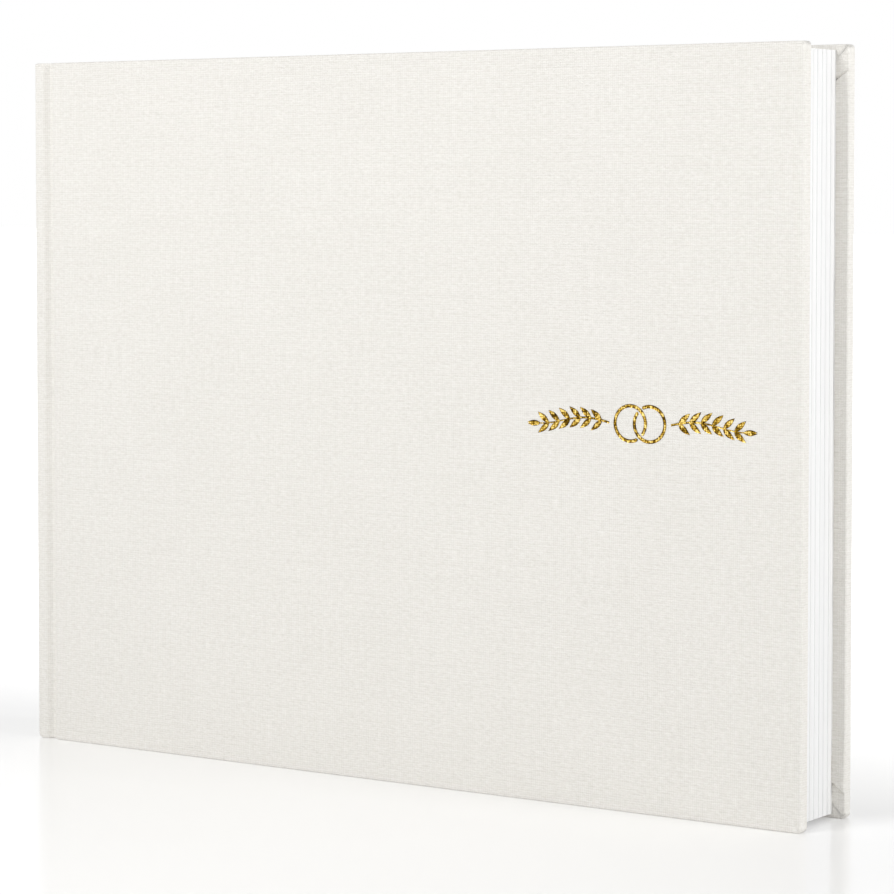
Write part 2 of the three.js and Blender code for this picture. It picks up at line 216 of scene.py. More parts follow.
def thicken(piece, thickness, offset):
    """Gives a sheet its thickness with a Solidify modifier; offset -1 grows it inward.

    Its border edges are marked sharp first, so that the rim has no rounded shading.
    """
    mesh = piece.data
    edges = np.zeros(len(mesh.loops), np.int32)
    mesh.loops.foreach_get("edge_index", edges)
    used = np.bincount(edges, minlength=len(mesh.edges))
    sharp = mesh.attributes.get("sharp_edge") or mesh.attributes.new("sharp_edge", "BOOLEAN", "EDGE")
    sharp.data.foreach_set("value", used == 1)
    wall = piece.modifiers.new("thickness", "SOLIDIFY")
    wall.thickness = thickness
    wall.offset = offset
    wall.use_rim = True
    return piece


def crease_shading(piece, degrees):
    """Smooth shading, kept sharp where faces meet at more than this angle."""
    piece.data.set_sharp_from_angle(angle=math.radians(degrees))
    return piece


# ---------------------------------------------------------------- shader helpers

class Value:
    """A shader value. Arithmetic on it adds Math nodes."""

    def __init__(self, graph, socket):
        self.graph = graph
        self.socket = socket

    def math(self, operation, *others):
        """One Math node with this value first."""
        node = self.graph.node("ShaderNodeMath", {"operation": operation},
                               dict(enumerate([self, *others])))
        return node[0]

    def __add__(self, other):
        return self.math("ADD", other)

    def __mul__(self, other):
        return self.math("MULTIPLY", other)

    def __sub__(self, other):
        return self.math("SUBTRACT", other)

    def __truediv__(self, other):
        return self.math("DIVIDE", other)

    def __pow__(self, other):
        return self.math("POWER", other)

    def __rsub__(self, other):
        return (self * -1.0) + other

    __radd__ = __add__
    __rmul__ = __mul__


class Shader:
    """A material's node graph with a Principled surface."""

    def __init__(self, name, roughness, **fixed):
        self.material = bpy.data.materials.new(name)
        self.material.use_nodes = True
        self.tree = self.material.node_tree
        self.surface = self.tree.nodes["Principled BSDF"]
        self.surface.inputs["Roughness"].default_value = roughness
        for socket, value in fixed.items():
            self.surface.inputs[socket.replace("_", " ")].default_value = value

    def node(self, kind, settings=None, inputs=None):
        """Adds a node: settings first, then each input is linked or set. Returns its outputs."""
        made = self.tree.nodes.new(kind)
        for key, value in (settings or {}).items():
            if key == "stops":
                self.ramp_stops(made.color_ramp, value)
            else:
                setattr(made, key, value)
        for key, value in (inputs or {}).items():
            self.feed(made.inputs[key], value)
        shown = [s for s in made.outputs if s.enabled]
        return [Value(self, s) for s in shown]

    @staticmethod
    def ramp_stops(ramp, stops):
        """Sets a colour ramp's stops from [(place, colour), ...]."""
        while len(ramp.elements) > 1:
            ramp.elements.remove(ramp.elements[-1])
        for i, (place, colour) in enumerate(stops):
            element = ramp.elements[0] if i == 0 else ramp.elements.new(place)
            element.position = place
            element.color = (*colour, 1.0)

    def feed(self, socket, value):
        """Links a Value to a socket, or sets a plain number or colour on it."""
        if isinstance(value, Value):
            self.tree.links.new(value.socket, socket)
        elif isinstance(value, tuple) and socket.type == "RGBA":
            socket.default_value = (*value, 1.0) if len(value) == 3 else value
        else:
            socket.default_value = value

    def place(self, scale=(1, 1, 1), uv=False):
        """Object coordinates in metres, or the piece's own UV, times scale."""
        if uv:
            source = self.node("ShaderNodeUVMap", {"uv_map": "pattern"})[0]
        else:
            source = self.node("ShaderNodeTexCoord")[3]
        return self.node("ShaderNodeVectorMath", {"operation": "MULTIPLY"},
                         {0: source, 1: scale})[0]

    def axes(self, vector):
        """The three numbers of a vector."""
        return self.node("ShaderNodeSeparateXYZ", None, {0: vector})

    def noise(self, vector, scale, detail=2.0, roughness=0.5):
        """Noise from 0 to 1 at a place."""
        return self.node("ShaderNodeTexNoise", {"noise_dimensions": "3D"},
                         {"Vector": vector, "Scale": scale, "Detail": detail,
                          "Roughness": roughness})[0]

    def blend(self, share, low, high):
        """A colour between low and high by share."""
        return self.node("ShaderNodeMix", {"data_type": "RGBA"},
                         {0: share, 6: low, 7: high})[0]

    def paint(self, colour=None, rough=None, bump=None, depth=0.0001, strength=1.0):
        """Feeds the surface: colour, roughness, and a bump whose height is in units of depth."""
        if colour is not None:
            self.feed(self.surface.inputs["Base Color"], colour)
        if rough is not None:
            self.feed(self.surface.inputs["Roughness"], rough)
        if bump is not None:
            normal = self.node("ShaderNodeBump", None,
                               {"Strength": strength, "Distance": depth, "Height": bump})[0]
            self.feed(self.surface.inputs["Normal"], normal)
        return self.material


# ---------------------------------------------------------------- the case cloth

def case_lines(face_columns):
    """Outer and inner line of the case cloth seen from above, from mid-spine to fore-edge.

    Outer: straight up the spine, a quarter circle of SPINE_ROUND, the shoulder, the groove
    FACE - GROOVE * cos^2, then straight along the cover. Inner: straight lines between the
    spine board, the joint and the cover board's inside. Both as (x, distance from mid-plane),
    with q the length walked along the outer line.
    """
    turn = np.linspace(0, math.pi / 2, 9)
    spine = np.stack([np.full(8, -WIDTH_HALF), np.linspace(0, FACE - SPINE_ROUND, 8)], 1)
    bend = np.stack([
        -WIDTH_HALF + SPINE_ROUND * (1 - np.cos(turn)),
        FACE - SPINE_ROUND * (1 - np.sin(turn)),
    ], 1)
    groove_x = np.linspace(SPINE_TURN, COVER_START, 17)
    swing = np.cos(math.pi * (groove_x - groove_x.mean()) / (COVER_START - SPINE_TURN))
    groove = np.stack([groove_x, FACE - GROOVE * swing ** 2], 1)
    cover = np.stack([face_columns, np.full(len(face_columns), FACE)], 1)
    outer = np.concatenate([spine, bend[1:], groove, cover])
    q = np.concatenate([[0], np.cumsum(np.linalg.norm(np.diff(outer, axis=0), axis=1))])
    doubled = FACE - 2.3 * CLOTH
    stations = np.array([
        (0, SPINE_TURN, 0),
        (q[7], SPINE_TURN, FACE - SPINE_ROUND - CLOTH),
        (q[15], SPINE_TURN, doubled),
        (q[16], SPINE_TURN + CLOTH, doubled - GROOVE / 4),
        (q[24], groove_x.mean(), doubled - GROOVE),
        (q[31], COVER_START - CLOTH, doubled - GROOVE / 4),
        (q[33], COVER_START + CLOTH, COVER_IN),
        (q[-1], face_columns[-1], COVER_IN),
    ])
    inner = np.stack([np.interp(q, stations[:, 0], stations[:, k]) for k in (1, 2)], 1)
    return q, outer, inner


def hem_rows():
    """The cloth's cross-section at an edge: inset from the edge, and depth as a + b * thickness.

    It runs in along the face, a quarter circle of EDGE_ROUND, straight over the board's edge,
    another quarter circle, then TURN_IN along the inside.
    """
    turn = np.linspace(0, math.pi / 2, 6)
    face = [(d, 0, 0) for d in (HEM, 0.8 * HEM, 0.6 * HEM, 0.4 * HEM)]
    out = [(EDGE_ROUND * (1 - math.sin(a)), EDGE_ROUND * (1 - math.cos(a)), 0) for a in turn]
    edge = [(0, EDGE_ROUND * (1 - 2 * k), k) for k in (0.33, 0.67)]
    back = [(EDGE_ROUND * (1 - math.cos(a)), -EDGE_ROUND * (1 - math.sin(a)), 1) for a in turn]
    inside = [(d * MM, 0, 1) for d in (
        0.65, 0.9, 1.15, 1.4, 1.7, 2.0, 2.3, 2.6, 2.9, 3.15, 3.4, 3.8, 5, 8, 12, 14.6)]
    return np.array(face + out + edge + back + inside + [(TURN_IN, -0.1 * MM, 1)])


def corner_relief(from_edge, from_end, size):
    """Extra height of the cloth inside a corner: the bulky fold at its tip, less a small pit.

    Height = size * (fold - 1.3 * pit), each a bell of the distance from its own centre.
    """
    fold = hill(np.hypot(from_end - 0.8 * MM, from_edge - 0.8 * MM), 0, 0.7 * MM)
    pit = hill(np.hypot(from_end - 1.0 * MM, from_edge - 2.2 * MM), 0, 0.5 * MM)
    return size * (fold - 1.3 * pit)


def clear_corner(lines, start):
    """Distances from an edge, squeezed so that the first is at start and far ones stay."""
    near = start + (lines - HEM) * (CORNER_SPAN - start) / (CORNER_SPAN - HEM)
    return np.where(lines < CORNER_SPAN, near, lines)


def lapped_corner(from_edge, from_end, start, size):
    """Height of the mitred corner, where the fore-edge flap laps over the end flap.

    The flap's cut edge is the grid line HEM + SEAM_DROP. Past it height = FLAP, dying away as
    exp(-(seam / FLAP_FADE)^2), and just outside it the cloth dips by SEAM_GAP.
    """
    seam = from_edge - clear_corner(HEM + SEAM_DROP, start)
    flap = FLAP * ease((seam + 0.1 * MM) / (0.12 * MM)) * hill(np.maximum(seam, 0), 0, FLAP_FADE)
    gap = SEAM_GAP * hill(seam, -0.22 * MM, 0.24 * MM)
    return flap - gap + corner_relief(from_edge, from_end, size)


def hem_surface(q, outer, inner, rows_z, side):
    """The wrapped edges: tail, fore-edge and head in one band, round both corners.

    Each row is an inset rounded rectangle at one inset d, so a corner's radius is its round
    less d outside and a tight fold inside, and depth runs from the outer line to the inner
    line: P = outer + depth * unit(inner - outer). Where the case is thin the rounding shrinks.
    """
    far = q[-1] + HEM
    turn = np.linspace(0, math.pi / 2, 13)[1:-1]
    table_q = np.append(q, far)
    table = [np.append(line, end) for line, end in (
        (outer[:, 0], WIDTH_HALF), (outer[:, 1], FACE),
        (inner[:, 0], WIDTH_HALF), (inner[:, 1], COVER_IN))]
    cover_q = np.interp(COVER_START + CLOTH, outer[:, 0][20:], q[20:])
    points, flats = [], []
    walked = 0.0
    last = None
    for d, a, b in hem_rows():
        here = np.array([d, a + b * 3 * MM])
        walked += 0.0 if last is None else float(np.linalg.norm(here - last))
        last = here
        rounds = [max(r - d, FOLD_ROUND if b else 0.0) for r in (TAIL_CORNER, HEAD_CORNER)]
        starts = [FOLD_START + d if b == 1 else max(d + r, HEM) for r in rounds]
        arms = [far - clear_corner(far - q, start) for start in starts]
        bends = [(d + r - r * np.cos(turn), far - d - r + r * np.sin(turn)) for r in rounds]
        up = clear_corner(rows_z, starts[0])
        up = HEIGHT - clear_corner(HEIGHT - up, starts[1])
        along = np.concatenate([arms[0], bends[0][1], np.full(len(up), far - d),
                                bends[1][1][::-1], arms[1][::-1]])
        height = np.concatenate([np.full(len(q), d), bends[0][0], up,
                                 HEIGHT - bends[1][0][::-1], np.full(len(q), HEIGHT - d)])
        ox, ow, ix, iw = (np.interp(along, table_q, line) for line in table)
        gap = np.hypot(ix - ox, iw - ow)
        depth = a * np.minimum(1, gap / (2.4 * EDGE_ROUND)) + b * gap
        if b == 1:
            low = height < HEIGHT / 2
            from_edge = np.where(low, height, HEIGHT - height)
            start = np.where(low, starts[0], starts[1])
            size = np.where(low, TAIL_LUMP, HEAD_LUMP)
            on_board = ease((along - cover_q) / (10 * MM)) * ease(d / (0.7 * MM))
            depth = depth + on_board * lapped_corner(from_edge, far - along, start, size)
        share = depth / gap
        x = ox + (ix - ox) * share
        w = ow + (iw - ow) * share
        points.append(np.stack([x, side * w, height], 1))
        zero = np.zeros(len(q))
        step_u = np.concatenate([zero, np.sin(turn), np.ones(len(up)), np.sin(turn)[::-1], zero])
        step_v = np.concatenate([zero - 1, -np.cos(turn), np.zeros(len(up)),
                                 np.cos(turn)[::-1], zero + 1])
        base_u = np.minimum(along, far - HEM)
        base_v = np.clip(height, HEM, HEIGHT - HEM)
        flats.append(np.stack([base_u + walked * step_u, base_v + walked * step_v], 1))
    count = len(points[0])
    return (np.array(points), grid_faces(len(points), count)[:, ::-1]), np.array(flats)


def pinch_spine(points):
    """Rounds the spine's ends: within r of an end x moves in by r - sqrt(r^2 - (r - z)^2)."""
    x, z = points[..., 0], points[..., 2]
    near = ease((SPINE_TURN - x) / (SPINE_TURN + WIDTH_HALF))
    for r, up in ((TAIL_PINCH, z), (HEAD_PINCH, HEIGHT - z)):
        inside = np.clip(r - up, 0, r)
        points[..., 0] += near * (r - np.sqrt(r * r - inside * inside))


def foil_press(xs, zs):
    """How far the stamp pressed the cloth at each (z, x): the foil's footprint, softened.

    1 under the foil, 0 away from it; the footprint is averaged with weights exp(-(k/1.1)^2).
    """
    covered = np.zeros((len(zs), len(xs)))
    for name in sorted(n for n in NODES if n.startswith("foil_")):
        mesh = NODES[name].data
        mesh.calc_loop_triangles()
        co = np.zeros(len(mesh.vertices) * 3)
        mesh.vertices.foreach_get("co", co)
        co = co.reshape(-1, 3)
        tri = np.zeros(len(mesh.loop_triangles) * 3, np.int32)
        mesh.loop_triangles.foreach_get("vertices", tri)
        corners = co[tri.reshape(-1, 3)]
        front = corners[:, :, 1].max(axis=1) < co[:, 1].min() + 0.01 * MM
        for (ax, az), (bx, bz), (cx, cz) in corners[front][:, :, (0, 2)]:
            i0, i1 = np.searchsorted(xs, (min(ax, bx, cx), max(ax, bx, cx)))
            k0, k1 = np.searchsorted(zs, (min(az, bz, cz), max(az, bz, cz)))
            gx, gz = np.meshgrid(xs[i0:i1], zs[k0:k1])
            s = (bx - ax) * (gz - az) - (bz - az) * (gx - ax)
            t = (cx - bx) * (gz - bz) - (cz - bz) * (gx - bx)
            u = (ax - cx) * (gz - cz) - (az - cz) * (gx - cx)
            same = ((s >= 0) & (t >= 0) & (u >= 0)) | ((s <= 0) & (t <= 0) & (u <= 0))
            covered[k0:k1, i0:i1] = np.maximum(covered[k0:k1, i0:i1], same)
    soft = np.exp(-((np.arange(-2, 3) / 1.1) ** 2))
    soft = soft / soft.sum()
    covered = np.apply_along_axis(np.convolve, 0, covered, soft, "same")
    return np.apply_along_axis(np.convolve, 1, covered, soft, "same")


def even_steps(start, stop, step):
    """Evenly spaced numbers from start to stop, about `step` apart."""
    return np.linspace(start, stop, max(2, int(round((stop - start) / step)) + 1))


def case_cloth(name, side, stamped):
    """Cloth of half the case: half the spine, the joint, and one cover with its turn-ins."""
    x_end = WIDTH_HALF - HEM
    corner = np.array([8, 5, 3.2, 2, 1, 0]) * MM
    seam = SEAM_DROP + np.array([8, 5, 3, 1.5, 0.6, 0.2, 0.1, 0, -0.1, -0.2, -0.3, -0.5,
                                 -0.9, -1.4, -2.2, -3.0, -3.8, -4.6]) * MM
    xs = np.append(even_steps(COVER_START, x_end - 12 * MM, 6 * MM), x_end - corner)
    zs = even_steps(HEM + 14 * MM, HEIGHT - HEM - 14 * MM, 6 * MM)
    zs = np.concatenate([HEM + seam[::-1], zs, HEIGHT - HEM - seam])
    xs[0] = COVER_START + 0.5 * MM
    fine = 0.31 * MM
    if stamped:
        boxes = [corner_pair(n) for n in NODES if n.startswith("foil_")]
        x0, z0 = (min(low[k] for low, _ in boxes) - 4 * fine for k in (0, 2))
        x1, z1 = (max(high[k] for _, high in boxes) + 4 * fine for k in (0, 2))
        xs = np.concatenate([xs[xs < x0 - fine], even_steps(x0, x1, fine), xs[xs > x1 + fine]])
        zs = np.concatenate([zs[zs < z0 - fine], even_steps(z0, z1, fine), zs[zs > z1 + fine]])
    q, outer, inner = case_lines(xs)
    x, z = np.meshgrid(outer[:, 0], zs)
    w = np.broadcast_to(outer[:, 1], x.shape).copy()
    if stamped:
        first = len(q) - len(xs)
        w[:, first:] -= PRESS * foil_press(xs, zs)
    face = np.stack([x, side * w, z], 2)
    face_uv = np.stack(np.meshgrid(q, zs), 2)
    hem, hem_uv = hem_surface(q, outer, inner, zs, side)
    pinch_spine(face)
    pinch_spine(hem[0])
    piece = make_piece(name, [(face, grid_faces(len(zs), len(q))), hem], flip=side > 0,
                       uv=[face_uv, hem_uv], weld=0)
    weld_points(piece.data, 2e-6)
    thicken(piece, CLOTH, -1)
    return piece


# ---------------------------------------------------------------- gold foil

def foil_line(spine, half):
    """A stamped line: across it the foil sinks as DISH * (1 - s^4), s from -1 to 1.

    `spine` holds its middle points (x, z) and `half` its half width at each. Returns points,
    faces and UV (length along, s).
    """
    along = np.gradient(spine, axis=0)
    along = along / np.linalg.norm(along, axis=1, keepdims=True)
    normal = np.stack([-along[:, 1], along[:, 0]], 1)
    s = np.linspace(-1, 1, 9)
    flat = spine[:, None, :] + normal[:, None, :] * (half[:, None] * s)[:, :, None]
    sink = FOIL_DISH * (1 - s ** 4) * np.minimum(1, half[:, None] / (0.25 * MM))
    y = -FACE + FOIL_PROUD + sink
    points = np.stack([flat[:, :, 0], y, flat[:, :, 1]], 2)
    walked = np.concatenate([[0], np.cumsum(np.linalg.norm(np.diff(spine, axis=0), axis=1))])
    uv = np.stack(np.broadcast_arrays(walked[:, None], s), 2)
    return points, grid_faces(*y.shape), uv


def foil_piece(name, lines):
    """One foil piece from its stamped lines."""
    piece = make_piece(name, [line[:2] for line in lines], uv=[line[2] for line in lines],
                       flip=True, weld=0)
    return thicken(piece, FOIL, -1)


def foil_ring(name, end):
    """A ring line, round 2 pi less a gap where the other ring passes over it.

    Two circles of one radius r whose middles are e apart cross at angles +-acos(e / 2r).
    """
    low, high = corner_pair(name)
    middle = (low + high) / 2
    radius = (high[2] - low[2]) / 2 - RING_HALF
    apart = corner_pair("foil_ring_right")[0][0] - corner_pair("foil_ring_left")[0][0]
    cross = math.acos(apart / 2 / radius)
    gap = (RING_HALF + RING_CLEAR) / (radius * math.sin(2 * cross))
    start = math.pi - cross if end > 0 else -cross
    turn = start + np.linspace(gap, 2 * math.pi - gap, 90)
    line = np.stack([middle[0] + radius * np.cos(turn), middle[2] + radius * np.sin(turn)], 1)
    from_tip = np.minimum(turn - turn[0], turn[-1] - turn) * radius
    half = RING_HALF * np.sqrt(np.clip(1 - (1 - np.clip(from_tip / RING_HALF, 0, 1)) ** 2, 0.02, 1))
    return foil_piece(f"{name}_leafed", [foil_line(line, half)])


def stem_height(u):
    """Height of a sprig's stem above the ornament's middle, u from the middle: one and a half
    half-waves of a sine."""
    return SPRIG_WAVE * np.sin(1.5 * math.pi * (u - SPRIG_START) / (SPRIG_END - SPRIG_START))


def foil_sprig(name, end):
    """A wavy stem and leaf lines leaning to both sides, half width swell * sin(pi * t^0.8)."""
    rings = [corner_pair(f"foil_ring_{word}") for word in ("left", "right")]
    centre_x = (rings[0][0][0] + rings[1][1][0]) / 2
    centre_z = (rings[0][0][2] + rings[0][1][2]) / 2
    u = np.linspace(SPRIG_START, SPRIG_END, 60)
    stem = np.stack([centre_x + end * u, centre_z + stem_height(u)], 1)
    thin = STEM_HALF * (0.75 + 0.25 * np.cos(math.pi * (u - u[0]) / (u[-1] - u[0])))
    lines = [foil_line(stem, thin)]
    share = (np.arange(LEAF_PAIRS) + 0.7) / (LEAF_PAIRS + 0.6)
    starts = SPRIG_START + share * (SPRIG_END - SPRIG_START)
    leaves = [(SPRIG_END - STEM_HALF, 0.0)]
    leaves += [(start, lean) for start in starts for lean in (LEAF_LEAN, -LEAF_LEAN)]
    t = np.linspace(0.0, 1.0, 28)
    for start, lean in leaves:
        a = t * LEAF_LENGTH
        bow = 0.12 * lean * a * (1 - t)
        line = np.stack([centre_x + end * (start + a * math.cos(lean) + bow),
                         centre_z + stem_height(start) + a * math.sin(lean) + bow], 1)
        wide = LEAF_HALF * np.sin(math.pi * np.clip(t, 0.04, 0.985) ** 0.8)
        lines.append(foil_line(line, wide))
    return foil_piece(f"{name}_leafed", lines)


# ---------------------------------------------------------------- paper

def folded_section(index):
    """One sewn section: SHEETS folded sheets, nested round the fold at the spine.

    Each sheet is a thin rectangle (LEAF thick, block height tall) carried along a U in plan:
    out along one side, half a circle of radius h round the fold, and back along the other.
    The leaves swell a little towards the fore-edge, and outer leaves end a hair shorter.
    """
    middle = -BLOCK_FACE + PITCH * (index + 0.5)
    half = PITCH / 2 - 0.02 * MM
    centre_x = FOLD_X + half
    straight = np.concatenate([
        np.linspace(LEAF_END, LEAF_START + 30 * MM, 14)[:-1],
        np.linspace(LEAF_START + 30 * MM, centre_x, 30),
    ])
    turn = np.linspace(math.pi / 2, 1.5 * math.pi, 9)
    rng = np.random.default_rng(40 + index)
    parts = []
    for k in range(SHEETS):
        outer = half * (1 - k / SHEETS)
        walls = []
        short = (0.16 * (outer / half) ** 8 + 0.03 * rng.random(2)) * MM
        for h in (outer, outer - LEAF):
            pull = ease((straight - LEAF_END + 30 * MM) / (30 * MM))
            line = [(straight - short[0] * pull, np.full(len(straight), h)),
                    (centre_x + h * np.cos(turn[1:-1]), h * np.sin(turn[1:-1])),
                    ((straight - short[1] * pull)[::-1], np.full(len(straight), -h))]
            walls.append(np.stack([np.concatenate([a[i] for a in line]) for i in (0, 1)], 1))
        tail = TAIL + 0.05 * MM * rng.random()
        head = HEAD - 0.05 * MM * rng.random()
        points, faces = standing_slab(walls[0], walls[1], np.linspace(tail, head, 9))
        x, y, z = np.moveaxis(points, 2, 0)
        swell = ease((x - LEAF_START) / (LEAF_END - LEAF_START))
        share = middle / BLOCK_FACE
        y = y + middle + swell * MM * (0.1 * share + 0.03 * ripple(x * 40, z * 60, 7))
        parts.append((np.stack([x, y, z], 2), faces))
    return crease_shading(make_piece(f"section_{index + 1}", parts, flip=True, weld=0), 40)


def standing_slab(wall_a, wall_b, rise):
    """A thin closed body between two plan lines, carried up through the heights in rise.

    Its ring runs up the first wall and down the second; strips close both ends.
    """
    steps = len(rise)
    walls = np.stack([wall_a] * steps + [wall_b] * steps, 1)
    z = np.broadcast_to(np.concatenate([rise, rise[::-1]]), walls.shape[:2])
    points = np.concatenate([walls, z[:, :, None]], 2)
    sides = grid_faces(*z.shape, close_columns=True)
    return points, np.concatenate([sides, cap_strips(*z.shape)])


def cap_strips(rows, columns):
    """Quads that close both ends of a carried rectangle whose ring has `columns` points."""
    half = columns // 2
    up = np.arange(half - 1)
    down = columns - 1 - up
    start = np.stack([up, down, down - 1, up + 1], 1)
    return np.concatenate([start[:, ::-1], start + (rows - 1) * columns])


def leaf_columns():
    """Distances from the spine for an endpaper's grid: fine in the gutter, then wider."""
    return np.concatenate([
        np.linspace(FOLD_X, LEAF_START + 4 * MM, 36)[:-1],
        np.linspace(LEAF_START + 4 * MM, LEAF_END, 60),
    ])


def flyleaf(name, side, lift):
    """Free half of an endpaper: a sheet BLOCK_FACE from the middle, with a faint wave.

    w = BLOCK_FACE + lift * ripple, growing towards the fore-edge.
    """
    x, z = np.meshgrid(leaf_columns(), np.linspace(TAIL, HEAD, 60))
    free = ease((x - LEAF_START - 60 * MM) / (LEAF_END - LEAF_START - 60 * MM))
    edge = ease((x - LEAF_END + 6 * MM) / (6 * MM))
    w = BLOCK_FACE + 0.12 * MM + free * 0.03 * MM
    w = w + free * lift * (0.5 + 0.5 * ripple(z * 90 + 1.0, z * 0, 3))
    w = w + edge * lift * 0.6 * ripple(z * 420, x * 30, 9)
    x = x + edge * 0.12 * MM * ripple(z * 200, z * 0, 5)
    points = np.stack([x, side * w, z], 2)
    piece = make_piece(name, [(points, grid_faces(*x.shape))], flip=side > 0)
    return thicken(piece, PAPER, 0)


def pastedown(name, side):
    """Glued half of an endpaper, from the fold over the joint and the board's inside.

    w steps smoothly between three levels: on the turn-ins (COVER_IN), on the bare board
    between them (BOARD_IN), and on the gauze flange beside the joint (0.2 mm higher).
    """
    x, z = np.meshgrid(
        np.concatenate([
            np.linspace(FOLD_X, COVER_START, 14)[:-1],
            np.linspace(COVER_START, COVER_START + 32 * MM, 40)[:-1],
            np.linspace(COVER_START + 32 * MM, WIDTH_HALF - 20 * MM, 30)[:-1],
            np.linspace(WIDTH_HALF - 20 * MM, LEAF_END, 40),
        ]),
        np.concatenate([
            np.linspace(TAIL, TAIL + 16 * MM, 32)[:-1],
            np.linspace(TAIL + 16 * MM, HEAD - 16 * MM, 24)[:-1],
            np.linspace(HEAD - 16 * MM, HEAD, 32),
        ]),
    )
    step = 1.6 * MM
    window = ease((WIDTH_HALF - TURN_IN - x) / step)
    window = window * ease((z - TURN_IN) / step) * ease((HEIGHT - TURN_IN - z) / step)
    flange_end = corner_pair("front_mull_flange")[1][0]
    flange = ease((flange_end - x) / step) * window
    level = COVER_IN + (BOARD_IN - COVER_IN) * window - 0.18 * MM * flange - 0.1 * MM
    level = level - 0.03 * MM * (0.5 + 0.5 * ripple(x * 90, z * 90, 21))
    fold_w = BLOCK_FACE + 0.3 * MM
    crossing = ease((COVER_START + 1.2 * MM - x) / (COVER_START + 1.2 * MM - FOLD_X))
    w = level + (fold_w - level) * crossing
    points = np.stack([x, side * w, z], 2)
    piece = make_piece(name, [(points, grid_faces(*x.shape))], flip=side < 0)
    return thicken(piece, PAPER, 0)


# ---------------------------------------------------------------- bands and staging

def silk_band(name, end, up):
    """Head or tail band: a bead along Y wound with thread, and its flat tail on the spine.

    Bead radius = r * (1 + 0.09 * |sin(pi * y / pitch + angle / 2)|), closed to a point at both ends.
    """
    low, high = corner_pair(name)
    radius = (high[0] - low[0] - 0.06 * MM) / 2
    along = np.linspace(low[1], high[1], 220)
    angle = np.linspace(0, 2 * math.pi, 16, endpoint=False)
    y, a = np.meshgrid(along, angle, indexing="ij")
    wound = 1 + 0.13 * np.abs(np.sin(math.pi * y / SILK_PITCH + a / 2))
    ends = np.sqrt(np.clip(1 - (np.abs(2 * y - low[1] - high[1]) / (high[1] - low[1])) ** 40, 0, 1))
    r = radius * wound / 1.13 * ends
    centre_x = low[0] + radius + 0.03 * MM
    centre_z = end + up * (radius + 0.02 * MM)
    bead = np.stack([centre_x + r * np.cos(a), y, centre_z + r * np.sin(a)], 2)
    across = np.linspace(low[1], high[1], 120)
    weave = 0.02 * MM * np.sin(across / SILK_PITCH * math.pi)
    lines = [np.stack([low[0] + depth * MM + weave, across], 1) for depth in (0.05, 0.15)]
    rise = np.linspace(*sorted((end - up * 8 * MM, centre_z)), 12)
    tail = standing_slab(*lines, rise)
    parts = [(bead, grid_faces(*a.shape, close_columns=True)[:, ::-1]), tail]
    return crease_shading(make_piece(f"{name}_silk", parts), 60)


def floor_sheet():
    """A wide level floor with its far edge carried off out of sight: z = 0."""
    x, y = np.meshgrid(np.linspace(-9, 9, 19), np.linspace(-9, 9, 19))
    points = np.stack([x, y, np.zeros(x.shape) - 0.02 * MM], 2)
    floor = make_piece("floor", [(points, grid_faces(*x.shape))])
    return floor


def soft_light(name, place, target, size, power):
    """A square softbox aimed at a point."""
    lamp = bpy.data.lights.new(name, "AREA")
    lamp.size = size
    lamp.energy = power
    lit = bpy.data.objects.new(name, lamp)
    aim = np.array(target, float) - np.array(place, float)
    lit.location = place
    lit.rotation_euler = Vector(aim).to_track_quat("-Z", "Y").to_euler()
    bpy.context.scene.collection.objects.link(lit)
    return lit



# ---------------------------------------------------------------- finishes

def weave_height(s, across, along, pitch, wander):
    """Plain weave from 0 to 1: warp |sin| and weft |sin| take turns on top like a chequer."""
    a = (across + wander) * (math.pi / pitch)
    b = (along - wander) * (math.pi / pitch)
    sine_a, sine_b = a.math("SINE"), b.math("SINE")
    turn = (sine_a * sine_b * 4.0).math("MAXIMUM", -1.0).math("MINIMUM", 1.0) * 0.5 + 0.5
    return sine_a.math("ABSOLUTE") * turn + sine_b.math("ABSOLUTE") * (1 - turn)


def linen():
    """Fine off-white bookcloth: plain weave of uneven threads, most of them lying across.

    Every thread's height is the weave times a short stretched noise, so that it comes and
    goes in dashes; long faint slubs and a soft cloud lie over it.
    """
    s = Shader("linen_bookcloth", 0.85, Sheen_Weight=0.12, Sheen_Roughness=0.5)
    u, v, _ = s.axes(s.place(uv=True))
    soft = s.noise(s.place(uv=True), 260.0, 2.0)
    weave = weave_height(s, u, v, WEAVE, (soft - 0.5) * (0.35 * MM))
    dashes = s.noise(s.place((620, 1900, 1), uv=True), 1.0, 2.0, 0.6)
    nubs = s.noise(s.place((1500, 1500, 1), uv=True), 1.0, 2.0, 0.6)
    weft = s.noise(s.place((45, 2300, 1), uv=True), 1.0, 2.0)
    warp = s.noise(s.place((2300, 45, 1), uv=True), 1.0, 2.0)
    cloud = s.noise(s.place(uv=True), 38.0, 2.0)
    uneven = (dashes - 0.5) * 2.2 + (nubs - 0.5) * 1.2
    slub = (weft - 0.5) * 0.35 + (warp - 0.5) * 0.2
    shade = weave * 0.45 + 0.34 + uneven * 0.42 + slub + (cloud - 0.5) * 0.12
    colour = s.blend(shade.math("MAXIMUM", 0.0).math("MINIMUM", 1.0),
                     (0.735, 0.71, 0.65), (0.955, 0.935, 0.895))
    return s.paint(colour, rough=weave * -0.08 + 0.9, bump=weave + uneven * 0.6 + slub,
                   depth=0.09 * MM, strength=0.9)


